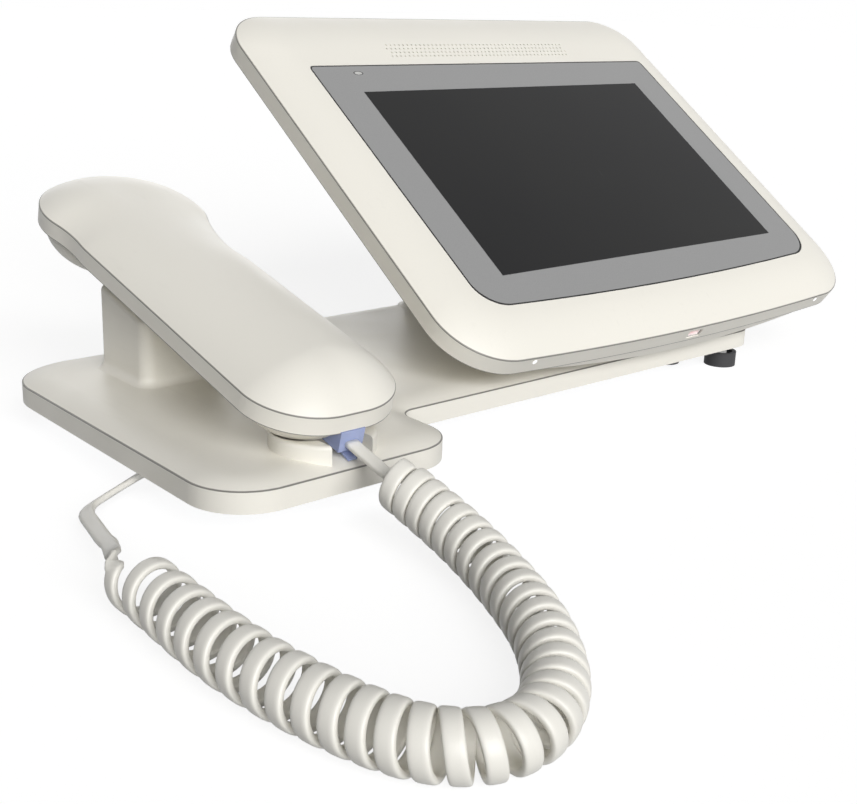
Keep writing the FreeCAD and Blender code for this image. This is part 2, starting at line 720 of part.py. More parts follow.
# plug: a clear body with a raised lip and an opening for the flat cord
opening_wide = 7.4
body = block(-plug_half, plug_front, plug_low, plug_half, plug_back, d.plug_top)
lip = block(-plug_half, plug_front, d.plug_top - 0.01, plug_half, plug_front + lip_deep,
            d.plug_top + d.plug_lip)
throat = block(-opening_wide / 2, plug_front + 2.2, plug_low + 0.9, opening_wide / 2, plug_front + 14,
               plug_low + 5.3)
contact_slots = []
contact_pins = []
for k in range(8):
    x = (k - 3.5) * 1.02
    contact_slots.append(block(x - 0.2, plug_back - 5, d.plug_top - 2.6, x + 0.2, plug_back - 0.6,
                               d.plug_top + 1))
    contact_pins.append(block(x - 0.15, plug_back - 4.9, d.plug_top - 2.6, x + 0.15, plug_back - 0.9,
                              d.plug_top - 0.2))
plug = body.fuse(lip).removeSplitter().cut(throat).cut(Part.makeCompound(contact_slots))
shaped("plug_body", plug, handset_at)
shaped("plug_contacts", Part.makeCompound(contact_pins), handset_at)

# latch: a thin springy tab under the plug, on a round bead at its root
bead_z = plug_low - 0.02 - d.latch_bead / 2
tip_z = plug_low - 0.35 - d.latch_drop
latch_profile = [
    (d.latch_root, bead_z + d.latch_thick / 2),
    (-d.latch_tip, tip_z + d.latch_thick / 2),
    (-d.latch_tip, tip_z - d.latch_thick / 2),
    (d.latch_root, bead_z - d.latch_thick / 2),
]
corners = [Vector(-d.latch_wide / 2, y, z) for y, z in latch_profile]
arm = prism(Part.makePolygon(corners + [corners[0]]), Vector(d.latch_wide, 0, 0))
bead = Part.makeCylinder(d.latch_bead / 2, d.latch_wide, Vector(-d.latch_wide / 2, d.latch_root, bead_z),
                         Vector(1, 0, 0))
shaped("plug_latch", arm.fuse(bead), handset_at)

# the pocket in the cradle for the handset's lower shell, cut with a gap
pocket_levels = []
for inset, drop in crown(d.face_round, d.face_deep):
    pocket_levels.append(hand_outline(d.face_step - d.pocket_gap + inset, -d.band_high - drop - d.rest_gap))
pocket_levels.reverse()
pocket = Part.makeLoft(pocket_levels, True, False)
pocket = pocket.fuse(prism(hand_outline(d.face_step - d.pocket_gap, -d.band_high - d.rest_gap),
                           Vector(0, 0, 30)))
pocket.Placement = handset_at
cradle = cradle.cut(pocket)
cradle_solids = [s for s in cradle.Solids if s.Volume > 20]
cradle = Part.makeCompound(cradle_solids)

# Base cover, whole

base_room = prism(base_outline(d.cover_wall, d.skirt_bottom_z - 1),
                  Vector(0, 0, hollow_top_z - d.skirt_bottom_z + 1))
cover = cover.cut(base_room)
cover = cover.fuse([post, pedestal] + cradle_solids)
wall = d.cover_wall
post_room = prism(rounded(post_points, post_radii, wall, d.skirt_bottom_z), Vector(0, 0, span))
post_room = post_room.cut(above(grip_low - d.rest_gap - 4, handset_at))
pedestal_room = prism(rounded(pedestal_points, pedestal_radii, wall, d.skirt_bottom_z), Vector(0, 0, span))
pedestal_room = pedestal_room.cut(above(back_b - d.bracket_thick - 3, display_at))
cover = cover.cut(post_room).cut(pedestal_room)

plunger_x = d.handset_x
plunger_y = (post_front_y + post_back_y) / 2
cover = cover.cut(bar(plunger_x, plunger_y, top_z, span, d.plunger_dia + 2 * d.slide_fit))

# screw bosses between the roof of the hollow and the bottom plate
inner = d.cover_wall + d.boss_dia / 2 + d.boss_in
boss_places = [
    (d.base_left_x + inner + 4, d.plate_front_y + inner + 4),
    (d.base_left_x + inner + 4, d.base_back_y - inner - 4),
    (d.plate_right_x - inner, d.plate_front_y + inner),
    (d.plate_right_x + d.boss_right_in, d.console_front_y + inner),
    (d.plate_right_x + d.boss_right_in, d.base_back_y - inner),
    (d.base_right_x - inner + d.boss_in, d.console_front_y + inner + d.boss_front_in),
    (d.base_right_x - inner + d.boss_in, d.base_back_y - inner - d.boss_back_in),
]
bosses = [bar(x, y, plate_top_z, hollow_top_z + 0.5, d.boss_dia) for x, y in boss_places]
boss_holes = [bar(x, y, plate_top_z - 1, hollow_top_z, d.screw_dia) for x, y in boss_places]
cover = cover.fuse(bosses).cut(Part.makeCompound(boss_holes))

# network and power opening at the back of the pedestal
jack_z = 45
net_wide = 16
net_high = 13
cover = cover.cut(block(d.display_x - net_wide / 2, d.pedestal_back_y - wall - 1, jack_z,
                        d.display_x + net_wide / 2, d.pedestal_back_y + 1, jack_z + net_high))
if len(cover.Solids) != 1:
    raise RuntimeError("the base cover is in %d pieces" % len(cover.Solids))
cover = cover.removeSplitter()

# bracket screws pass through the roof of the pedestal
bracket_xy = [(x, up) for x in (-d.bracket_wide / 2 + 12, d.bracket_wide / 2 - 12)
              for up in (-d.bracket_high / 2 + 10, d.bracket_high / 2 - 10)]
bracket_up = 16
bracket_hole_shapes = []
for x, up in bracket_xy:
    hole = bar(x, up + bracket_up, back_b - 40, back_b + 12, d.screw_dia)
    hole.Placement = display_at
    bracket_hole_shapes.append(hole)
bracket_holes = Part.makeCompound(bracket_hole_shapes)
cover = cover.cut(bracket_holes)
shaped("base_cover", cover)

# foot places
foot_places = [
    (d.base_right_x - d.foot_front_x, d.console_front_y + d.foot_front_y),
    (d.base_right_x - d.foot_inner_x, d.console_front_y + d.foot_inner_y),
    (d.base_right_x - d.foot_front_x, d.base_back_y - d.foot_back_y),
    (d.base_left_x + d.foot_left_x, d.plate_front_y + d.foot_left_y),
    (d.base_left_x + d.foot_left_x, d.base_back_y - d.foot_back_y),
]
plate = prism(base_outline(d.cover_wall + d.fit_gap, d.skirt_bottom_z), Vector(0, 0, d.steel_thick))
plate_holes = [bar(x, y, 0, 40, d.screw_dia) for x, y in boss_places + foot_places]
shaped("base_plate", plate.cut(Part.makeCompound(plate_holes)))

node(box("ballast", "ballast_long", "ballast_deep", "ballast_thick", at(0, 0, 0)), "base_ballast",
     at(d.display_x - d.ballast_long / 2, d.ballast_y - d.ballast_deep / 2, plate_top_z))


def screw(name, long):
    """A pan-head screw with its head's underside at 0 and its thread upwards."""
    shank = round_bar(name + "_shank", "screw_dia", long, at(0, 0, 0))
    head = round_bar(name + "_head", "screw_head_dia", "screw_head_high", at(0, 0, -d.screw_head_high))
    whole = doc.addObject("Part::Fuse", name)
    whole.Base = shank
    whole.Tool = head
    return whole


def row_of(name, make, places):
    things = []
    for i, where in enumerate(places):
        thing = make("%s_%d" % (name, i + 1))
        thing.Placement = where
        things.append(thing)
    return group(name, things)


node(row_of("base_screw_set", lambda n: screw(n, "steel_thick + skirt_high - 3"),
            [at(x, y, d.skirt_bottom_z) for x, y in boss_places]), "base_screws")


def foot_cup(name):
    outer = round_bar(name + "_outer", "foot_dia", "foot_high", at(0, 0, 0))
    inner_bar = round_bar(name + "_inner", "foot_dia - 2 * foot_wall", "foot_high", at(0, 0, d.foot_wall))
    return cut(name, outer, inner_bar)


def foot_post(name):
    outer = round_bar(name + "_outer", "foot_post_dia", "skirt_bottom_z - foot_wall", at(0, 0, 0))
    inner_bar = round_bar(name + "_inner", "screw_dia", "skirt_bottom_z", at(0, 0, 2))
    return cut(name, outer, inner_bar)


node(row_of("cup_set", foot_cup, [at(x, y, 0) for x, y in foot_places]), "foot_cups")
node(row_of("post_set", foot_post, [at(x, y, d.foot_wall) for x, y in foot_places]), "foot_posts")
down = Rotation(Vector(1, 0, 0), 180)
node(row_of("foot_screw_set", lambda n: screw(n, "steel_thick + 6"),
            [Placement(Vector(x, y, plate_top_z), down) for x, y in foot_places]), "foot_screws")

# hook switch: a bracket on the bottom plate carries the switch and the plunger
post_mid_z = d.handset_z + (plunger_y - d.handset_y) * math.tan(lean.Angle) + (grip_low - 4.3) / math.cos(lean.Angle)
plunger_low = post_mid_z - d.plunger_cap_high
switch_z = plunger_low - d.rest_gap - d.switch_high
plunger = bar(plunger_x, plunger_y, plunger_low, span, d.plunger_dia)
shaped("hook_plunger", plunger.cut(above(grip_low - d.rest_gap, handset_at)))
bracket = box("bracket_block", "plunger_dia + 12", "plunger_dia + 6", switch_z - plate_top_z, at(0, 0, 0))
node(bracket, "hook_bracket",
     at(plunger_x - d.plunger_dia / 2 - 6, plunger_y - d.plunger_dia / 2 - 3, plate_top_z))
node(box("switch_block", "plunger_dia + 8", "plunger_dia + 2", "switch_high", at(0, 0, 0)), "hook_switch",
     at(plunger_x - d.plunger_dia / 2 - 4, plunger_y - d.plunger_dia / 2 - 1, switch_z))

# network socket inside the pedestal, on the back wall
net = block(-net_wide / 2 - 2, 0, -2, net_wide / 2 + 2, 18, net_high + 2)
net = net.cut(block(-5.9, 4, 2.6, 5.9, 20, 9.4))
shaped("network_jack", net, at(d.display_x, d.pedestal_back_y - wall - 18, jack_z))

# Display

half_w = d.housing_wide / 2


def housing_outline(inset, b, radius_more=0.0):
    """The housing's outline drawn in by inset, with its corners made rounder by radius_more."""
    more = radius_more - inset
    return bowed(half_w - inset, d.housing_low - inset, d.housing_top - inset,
                 d.housing_corner_low + more, d.housing_corner_top + more, d.housing_bow - inset, b)


def border_ring(part, b):
    """The border's outline, from the housing's edge (part 0) to its inner limit (part 1)."""
    return bowed(half_w - part * d.bezel_side, d.housing_low - part * d.bezel_low,
                 d.housing_top - part * d.bezel_top,
                 d.housing_corner_low + part * (d.glass_corner_low - d.housing_corner_low),
                 d.housing_corner_top + part * (d.bezel_inner_corner - d.housing_corner_top), d.housing_bow, b)


def lower_edge(x):
    """Height of the bowed bottom edge at x."""
    return d.housing_bow - d.housing_low - math.sqrt(d.housing_bow ** 2 - x ** 2)


edge_b = -d.bezel_drop
band_b = edge_b - d.band_thick
border = [border_ring(part, edge_b + rise) for part, rise in
          [(inset / d.bezel_side, up) for inset, up in crown(d.bezel_side, d.bezel_drop)]]
bezel = prism(housing_outline(0, band_b), Vector(0, 0, d.band_thick))
bezel = bezel.fuse(Part.makeLoft(border, True, False)).removeSplitter()
room = prism(housing_outline(d.housing_wall, band_b - 1), Vector(0, 0, d.band_thick + 1))
room_top_b = -d.housing_wall - 0.4
room_top = prism(border_ring(0.64, edge_b), Vector(0, 0, room_top_b - edge_b))
glass_low_b = -d.glass_thick
gw = d.glass_wide / 2 + d.glass_gap
gh = d.glass_high / 2 + d.glass_gap
glass_room = prism(bowed(gw, gh - d.glass_low, gh + d.glass_low, d.glass_corner_low + d.glass_gap,
                         d.glass_corner_top + d.glass_gap, d.housing_bow + d.glass_gap, glass_low_b), Vector(0, 0, 10))
pw = d.screen_wide / 2 + d.panel_rim + d.fit_gap
ph = d.screen_high / 2 + d.panel_rim + d.fit_gap
window = block(-pw, d.screen_low - ph, -30, pw, d.screen_low + ph, 1)
bezel = bezel.cut([room, room_top, glass_room, window])
holes = []
rows = int(d.grille_rows)
count = int(d.grille_count)
for j in range(rows):
    shift = (j % 2 - 0.5) * d.grille_pitch / 2
    for i in range(count):
        x = (i - (count - 1) / 2) * d.grille_pitch + shift
        y = d.grille_up + (j - (rows - 1) / 2) * d.grille_row_step
        holes.append(bar(x, y, -8, 1, d.grille_hole))
bezel = bezel.cut(Part.makeCompound(holes))
port_b = band_b + (d.band_thick - d.port_high) / 2
port_y = lower_edge(d.port_x)
port_left = d.port_x - d.port_wide / 2
port_right = d.port_x + d.port_wide / 2
port_hole = block(port_left, port_y - 1, port_b, port_right, port_y + d.housing_wall + 1,
                  port_b + d.port_high)
lamp_b = band_b + d.band_thick / 2 + 2.2
lamp_holes = []
lamps = []
forward = Vector(0, 1, 0)
for side in (-1, 1):
    x = side * d.lamp_x
    y = lower_edge(x) - 0.1
    lamp_holes.append(Part.makeCylinder(d.lamp_dia / 2, d.housing_wall + 2, Vector(x, y - 1, lamp_b),
                                        forward))
    lamps.append(Part.makeCylinder(d.lamp_dia / 2, d.housing_wall + 0.5, Vector(x, y, lamp_b), forward))
bezel = bezel.cut([port_hole] + lamp_holes)
shaped("display_bezel", bezel, display_at)
shaped("status_lamps", Part.makeCompound(lamps), display_at)

port = block(port_left, port_y + 0.8, port_b, port_right, port_y + 12, port_b + d.port_high)
port = port.cut(block(port_left + 1.2, port_y, port_b + 1.1, port_right - 1.2, port_y + 8,
                      port_b + d.port_high - 1.1))
port = port.fuse(block(d.port_x - 3.4, port_y + 2, port_b + 2.1, d.port_x + 3.4, port_y + 8.5, port_b + 3.1))
shaped("service_port", port, display_at)

# cover glass with the oval window cut in it
glass = plate_body("glass_plate", "glass_wide", "glass_high", "glass_corner_low", "glass_corner_top",
                   "glass_thick",
                   "housing_bow")


def oval_rod(low, high, grow=0.0):
    ring = Part.Ellipse(Vector(d.sensor_x, d.sensor_up, low), d.sensor_wide / 2 + grow,
                        d.sensor_high / 2 + grow)
    return prism(Part.Wire([ring.toShape()]), Vector(0, 0, high - low))


oval_tool = doc.addObject("Part::Feature", "oval_tool")
oval_tool.Shape = oval_rod(-3, 3, 0.02)
oval_tool.Placement = at(0, -d.glass_low, d.glass_thick)
node(cut("glass_with_window", glass, oval_tool), "cover_glass", on_display(0, d.glass_low, glass_low_b))
shaped("sensor_window", oval_rod(-d.glass_thick, 0.0), display_at)

panel = plate_body("panel_plate", "screen_wide + 2 * panel_rim", "screen_high + 2 * panel_rim", "1", "1",
                   "panel_thick")
node(panel, "lcd_panel", on_display(0, d.screen_low, glass_low_b - d.panel_thick))
frame_body = plate_body("frame_plate", "screen_wide + 2 * panel_rim - 4", "screen_high + 2 * panel_rim - 4",
                        "4", "4", "frame_thick")
node(frame_body, "panel_frame", on_display(0, d.screen_low, glass_low_b - d.panel_thick - d.frame_thick))
board_b = glass_low_b - d.panel_thick - d.frame_thick - d.board_thick
node(plate_body("board_plate", "screen_wide - 50", "screen_high - 30", "3", "3", "board_thick"), "main_board",
     on_display(0, d.screen_low, board_b))
node(box("speaker_block", "speaker_wide", "speaker_high", "speaker_thick", at(0, 0, 0)), "speaker",
     on_display(-d.speaker_wide / 2, d.grille_up - d.speaker_high / 2, room_top_b - d.speaker_thick))

# rear shell: a shallow tray behind the band, with a chin at the lower edge
def tray(inset0, inset1, b0, b1):
    return Part.makeLoft([housing_outline(inset1, b1, inset1), housing_outline(inset0, b0, 12 + inset0)],
                         True, True)


rear_b = band_b - d.rear_deep
rear = tray(1.0, 1.0 + d.rear_slope, band_b, rear_b)
chin_y = -d.housing_low - 1
chin_ends = [Vector(x, chin_y, band_b) for x in (-d.chin_half, d.chin_half)]
chin_arc = Part.Arc(chin_ends[0], Vector(0, chin_y, band_b - d.chin_deep), chin_ends[1]).toShape()
chin_line = Part.LineSegment(chin_ends[1], chin_ends[0]).toShape()
chin = prism(Part.Wire([chin_arc, chin_line]), Vector(0, d.chin_high + 1, 0))
chin = chin.common(prism(housing_outline(0.4, band_b - d.chin_deep), Vector(0, 0, d.chin_deep)))
rear = rear.fuse(chin)
rear = rear.cut(tray(1.0 + d.housing_wall, 1.0 + d.rear_slope + d.housing_wall * 0.6, band_b + 0.01,
                     rear_b + d.housing_wall))
boss_rods = []
for x, up in bracket_xy:
    boss_rods.append(bar(x, up + bracket_up, rear_b + 0.5, rear_b + 12, d.boss_dia))
rear = rear.fuse(boss_rods)
local_holes = Part.makeCompound([bar(x, up + bracket_up, rear_b - 5, rear_b + 11, d.screw_dia)
                                 for x, up in bracket_xy])
rear = rear.cut(local_holes)
shaped("display_rear_shell", rear, display_at)

bracket_plate = block(-d.bracket_wide / 2, bracket_up - d.bracket_high / 2, rear_b - d.bracket_thick,
                      d.bracket_wide / 2, bracket_up + d.bracket_high / 2, rear_b)
shaped("display_bracket", bracket_plate.cut(local_holes), display_at)
head_b = rear_b - d.bracket_thick - 3
node(row_of("bracket_screw_set", lambda n: screw(n, "bracket_thick + 3 + 9"),
            [on_display(x, up + bracket_up, head_b) for x, up in bracket_xy]), "bracket_screws")

# Cord

# places of the coil's axis by turn number, from the plug end to the tail
AXIS = [
    (1.0, -170.1, -153.3, 24.0), (2.5, -168.6, -163.2, 20.3), (4.5, -168.2, -178.3, 16.1),
    (6.5, -170.2, -194.6, 12.9), (8.5, -175.5, -213.4, 11.0), (10.5, -183.0, -231.5, 10.7),
    (12.5, -192.2, -249.2, 10.7), (14.5, -204.0, -265.5, 10.7), (16.7, -217.5, -278.3, 10.7),
    (18.85, -232.8, -285.0, 10.7), (20.45, -245.5, -284.0, 10.7), (22.0, -256.0, -277.3, 10.7),
    (25.0, -267.4, -256.1, 10.7), (28.0, -273.9, -228.9, 10.7), (31.0, -277.0, -197.0, 10.7),
    (34.0, -275.7, -162.1, 10.7), (36.0, -274.2, -135.5, 10.7),
]


def spline(column):
    """Natural cubic through one column of AXIS; returns a function of the turn."""
    t = [p[0] for p in AXIS]
    y = [p[column] for p in AXIS]
    n = len(t)
    step = [t[i + 1] - t[i] for i in range(n - 1)]
    low = [0.0] * n
    mid = [1.0] * n
    high = [0.0] * n
    right = [0.0] * n
    for i in range(1, n - 1):
        low[i] = step[i - 1]
        mid[i] = 2 * (step[i - 1] + step[i])
        high[i] = step[i]
        right[i] = 3 * ((y[i + 1] - y[i]) / step[i] - (y[i] - y[i - 1]) / step[i - 1])
    for i in range(1, n):
        k = low[i] / mid[i - 1]
        mid[i] -= k * high[i - 1]
        right[i] -= k * right[i - 1]
    c = [0.0] * n
    for i in range(n - 1, -1, -1):
        c[i] = (right[i] - (high[i] * c[i + 1] if i < n - 1 else 0)) / mid[i]

    def at_turn(u):
        i = 0
        while i < n - 2 and u > t[i + 1]:
            i += 1
        dx = u - t[i]
        b = (y[i + 1] - y[i]) / step[i] - step[i] * (2 * c[i] + c[i + 1]) / 3
        e = (c[i + 1] - c[i]) / (3 * step[i])
        return y[i] + b * dx + c[i] * dx * dx + e * dx ** 3

    return at_turn


axis_x = spline(1)
axis_y = spline(2)
axis_z = spline(3)
PHASE = 0.0


def coil_point(u):
    middle = Vector(axis_x(u), axis_y(u), axis_z(u))
    ahead = Vector(axis_x(u + 0.01), axis_y(u + 0.01), axis_z(u + 0.01))
    along = (ahead - middle).normalize()
    up = Vector(0, 0, 1) - along * along.z
    up.normalize()
    side = along.cross(up)
    a = -2 * math.pi * (u + PHASE)
    return middle + (side * math.cos(a) + up * math.sin(a)) * d.coil_half


def coil_way(u):
    return (coil_point(u + 0.002) - coil_point(u - 0.002)).normalize()


def arc_from(a, way, b):
    """The arc from a to b that leaves a along way."""
    chord = b - a
    c = Vector(chord).normalize()
    side = way - c * way.dot(c)
    if side.Length < 1e-6:
        return Part.LineSegment(a, b).toShape(), 1e9
    side.normalize()
    half = math.acos(max(-1.0, min(1.0, way.dot(c))))
    middle = (a + b) * 0.5 + side * (chord.Length / 2 * math.tan(half / 2))
    return Part.Arc(a, middle, b).toShape(), chord.Length / 2 / math.sin(half)


def biarc(a, way_a, b, way_b):
    """Two arcs with a common tangent from a to b."""
    v = b - a
    t = way_a + way_b
    k = 2 * (1 - way_a.dot(way_b))
    if k < 1e-9:
        reach = v.dot(v) / (2 * v.dot(t))
    else:
        reach = (-v.dot(t) + math.sqrt(v.dot(t) ** 2 + k * v.dot(v))) / k
    joint = (a + way_a * reach + b - way_b * reach) * 0.5
    first, r1 = arc_from(a, way_a, joint)
    c = (joint - a).normalize()
    way_joint = c * (2 * way_a.dot(c)) - way_a
    second, r2 = arc_from(joint, way_joint, b)
    return [first, second], min(r1, r2)


def eased(a, pull_a, b, pull_b, steps=5):
    """Biarcs along a cubic from a to b whose end tangents are pull_a and pull_b."""
    def point(q):
        return (a * (2 * q ** 3 - 3 * q ** 2 + 1) + pull_a * (q ** 3 - 2 * q ** 2 + q)
                + b * (3 * q ** 2 - 2 * q ** 3) + pull_b * (q ** 3 - q ** 2))

    def heading(q):
        e = 1e-4
        return (point(min(q + e, 1)) - point(max(q - e, 0))).normalize()

    pieces = []
    tightest = 1e9
    marks = [k / steps for k in range(steps + 1)]
    for q0, q1 in zip(marks, marks[1:]):
        way0 = Vector(pull_a).normalize() if q0 == 0 else heading(q0)
        way1 = Vector(pull_b).normalize() if q1 == 1 else heading(q1)
        more, r = biarc(point(q0), way0, point(q1), way1)
        pieces += more
        tightest = min(tightest, r)
    return pieces, tightest


cord_up = plug_low + 3.2
lead_start = handset_at.multVec(Vector(0, plug_front, cord_up))
lead_way = handset_at.Rotation.multVec(Vector(0, -1, 0))
lead_end = lead_start + lead_way * d.lead_long
coil_run = lead_end + lead_way * d.cord_dia

TURN_FIRST = 0.65
TURN_LAST = 35.65
turns = [TURN_FIRST + 0.25 * k for k in range(int(round((TURN_LAST - TURN_FIRST) / 0.25)) + 1)]
path = [Part.LineSegment(lead_end, coil_run).toShape()]
radii = []
more, r = eased(coil_run, lead_way * 20, coil_point(turns[0]), coil_way(turns[0]) * 30)
path += more
radii.append(r)
for u, v in zip(turns, turns[1:]):
    more, r = biarc(coil_point(u), coil_way(u), coil_point(v), coil_way(v))
    path += more
    radii.append(r)

# tail: off the last turn, down to the desk, round a corner and under the base
socket_way = Vector(0.905, 0.426, 0).normalize()
corner = Vector(-256.0, -63.3, 3.0)
socket_end = Vector(-188.5, -31.5, 7.0)
tail_start = Vector(-268.5, -107.0, 11.0)
tail_way = (corner - tail_start).normalize()
more, r = eased(coil_point(turns[-1]), coil_way(turns[-1]) * 32, tail_start - tail_way * d.cord_dia,
                tail_way * 20)
path += more
radii.append(r)
path.append(Part.LineSegment(tail_start - tail_way * d.cord_dia, tail_start).toShape())
print("coil: smallest radius %.2f of %d bends" % (min(radii), 2 * len(radii)))

spine = Part.Wire(path)


def tube(wire, start, way):
    ring = Part.Wire([Part.Circle(start, way, d.cord_dia / 2).toShape()])
    shell = wire.makePipeShell([ring], True, False)
    return shell


def least_gap(wire, dia):
    """Least distance between stretches of the tube that are not next to each other."""
    points = wire.discretize(Distance=1.2)
    far = int(5 * dia / 1.2)
    best = 1e9
    for i in range(len(points)):
        for j in range(i + far, min(i + 110, len(points))):
            gap = (points[i] - points[j]).Length - dia
            if gap < best:
                best = gap
    return best


coil = tube(spine, lead_end, lead_way)
print("coil: length %.1f, least gap to itself %.2f" % (spine.Length, least_gap(spine, d.cord_dia)))
print("coil: volume %.1f, section times length %.1f" % (coil.Volume,
                                                        math.pi * d.cord_dia ** 2 / 4 * spine.Length))
shaped("cord_coil", coil)

shaped("cord_lead", Part.makeCylinder(d.cord_dia / 2, d.lead_long, lead_start, lead_way))

# the tail's corner is a tight fold, as the flat cord makes it
under = socket_end - socket_way * 34.0
run_a = (corner - tail_start).normalize()
run_b = (under - corner).normalize()
fold = math.acos(run_a.dot(run_b))
fold_radius = 10.0
back = fold_radius * math.tan(fold / 2)
p1 = corner - run_a * back
p2 = corner + run_b * back
bisect = (run_b - run_a).normalize()
fold_mid = corner + bisect * (fold_radius / math.cos(fold / 2) - fold_radius)
fold_low = math.acos(min(1.0, run_b.dot(socket_way)))
ease = 120.0
back2 = ease * math.tan(fold_low / 2)
q1 = under - run_b * back2
q2 = under + socket_way * back2
mid_way = (socket_way - run_b).normalize() if fold_low > 1e-6 else Vector(0, 0, 1)
ease_mid = under + mid_way * (ease / math.cos(fold_low / 2) - ease)
tail_path = [
    Part.LineSegment(tail_start, p1).toShape(),
    Part.Arc(p1, fold_mid, p2).toShape(),
    Part.LineSegment(p2, q1).toShape(),
    Part.Arc(q1, ease_mid, q2).toShape(),
    Part.LineSegment(q2, socket_end).toShape(),
]
tail_wire = Part.Wire(tail_path)
tail = tube(tail_wire, tail_start, run_a)
print("tail: radii %.1f and %.1f, length %.1f" % (fold_radius, ease, tail_wire.Length))
print("tail: volume %.1f, section times length %.1f" % (tail.Volume,
                                                        math.pi * d.cord_dia ** 2 / 4 * tail_wire.Length))
shaped("cord_tail", tail)
print("cord: whole length %.0f" % (spine.Length + tail_wire.Length + d.lead_long))

# socket and plug at the tail, hung under the bottom plate
heading = math.degrees(math.atan2(socket_way.y, socket_way.x))
socket_at = Placement(socket_end, Rotation(Vector(0, 0, 1), heading))
tail_plug = block(0, -5.85, -3.3, 21, 5.85, 3.3)
shaped("tail_plug", tail_plug, socket_at)
socket_low = -5.0
socket_high = d.skirt_bottom_z - socket_end.z
socket = block(5, -8, socket_low, 26, 8, socket_high).cut(block(4, -6.1, -3.55, 21.25, 6.1, 3.55))
shaped("cord_socket", socket, socket_at)

# The origin lies under the middle of the station's outline

back_edge = d.housing_top * math.cos(math.radians(d.display_tilt)) - band_b * math.sin(math.radians(d.display_tilt))
middle_x = (d.base_left_x + d.display_x + half_w) / 2
middle_y = (d.plate_front_y + d.display_y + back_edge) / 2
print("middle of the outline: %.3f %.3f" % (middle_x, middle_y))
doc.recompute()
for thing in PARTS:
    thing.Placement = at(-middle_x, -middle_y, 0).multiply(thing.Placement)

# Write

doc.recompute()
for thing in doc.Objects:
    if "Invalid" in thing.State or "Error" in thing.State:
        raise RuntimeError("%s failed" % thing.Name)
os.makedirs("parts", exist_ok=True)
for thing in PARTS:
    shape = thing.Shape
    if shape.isNull() or not shape.isValid() or shape.Volume <= 0:
        raise RuntimeError("%s has no valid shape" % thing.Label)
    print("%-22s %d solids %10.1f mm3" % (thing.Label, len(shape.Solids), shape.Volume))
for thing in PARTS:
    thing.Shape.exportStep("parts/%s.step" % thing.Label)
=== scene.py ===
"""Looks of a desk nurse call station: tilted touch display, low L-shaped base,
corded handset and a flat coiled cord. Metres, X right, Y back, Z up."""
import math

import bpy
from mathutils import Matrix, Vector


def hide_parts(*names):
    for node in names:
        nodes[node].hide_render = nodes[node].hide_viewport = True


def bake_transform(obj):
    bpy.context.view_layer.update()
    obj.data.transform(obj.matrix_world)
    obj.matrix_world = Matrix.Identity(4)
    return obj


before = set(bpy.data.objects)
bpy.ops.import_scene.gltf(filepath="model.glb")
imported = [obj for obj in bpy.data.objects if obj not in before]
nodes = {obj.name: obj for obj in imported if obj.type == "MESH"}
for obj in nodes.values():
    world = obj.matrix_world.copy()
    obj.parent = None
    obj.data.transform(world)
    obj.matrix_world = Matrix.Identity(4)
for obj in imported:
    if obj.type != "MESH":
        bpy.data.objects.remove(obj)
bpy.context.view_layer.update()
scene = bpy.context.scene


# Camera

eye = bpy.data.cameras.new("eye")
camera = bpy.data.objects.new("eye", eye)
scene.collection.objects.link(camera)
camera.matrix_world = Matrix((
    (0.7585, 0.1695, -0.6293, -0.45905),
    (-0.6509, 0.2451, -0.7185, -0.49223),
    (0.0325, 0.9546, 0.2962, 0.2025),
    (0, 0, 0, 1),
))
eye.lens = 53.68
eye.sensor_width = 36
eye.shift_y = -0.0198
eye.clip_start = 0.01
eye.clip_end = 20
scene.camera = camera


# Helpers

def add_mesh(name, verts, faces, smooth=True):
    mesh = bpy.data.meshes.new(name)
    mesh.from_pydata(verts, [], faces)
    mesh.validate()
    mesh.update()
    for p in mesh.polygons:
        p.use_smooth = smooth
    thing = bpy.data.objects.new(name, mesh)
    scene.collection.objects.link(thing)
    return thing


def natural_spline(rows, column):
    """Natural cubic through one column of rows, over the first column."""
    t = [r[0] for r in rows]
    y = [r[column] for r in rows]
    n = len(t)
    step = [b - a for a, b in zip(t, t[1:])]
    low, mid, right = [0.0] * n, [1.0] * n, [0.0] * n
    high = [0.0] * n
    for i in range(1, n - 1):
        low[i] = step[i - 1]
        mid[i] = 2 * (step[i - 1] + step[i])
        high[i] = step[i]
        right[i] = 3 * ((y[i + 1] - y[i]) / step[i] - (y[i] - y[i - 1]) / step[i - 1])
    for i in range(1, n):
        k = low[i] / mid[i - 1]
        mid[i] -= k * high[i - 1]
        right[i] -= k * right[i - 1]
    c = [0.0] * n
    for i in range(n - 1, -1, -1):
        c[i] = (right[i] - (high[i] * c[i + 1] if i < n - 1 else 0)) / mid[i]

    def at(u):
        i = 0
        while i < n - 2 and u > t[i + 1]:
            i += 1
        dx = u - t[i]
        b = (y[i + 1] - y[i]) / step[i] - step[i] * (2 * c[i] + c[i + 1]) / 3
        e = (c[i + 1] - c[i]) / (3 * step[i])
        return y[i] + b * dx + c[i] * dx * dx + e * dx ** 3

    return at


# Cord: a flat ribbon wound in 36 turns

# All places below are drawn from a zero that lies here in the frame.
ZERO = Vector((-.00155, .00177, 0))
RIGHT, UPWARD = Vector((1, 0, 0)), Vector((0, 0, 1))

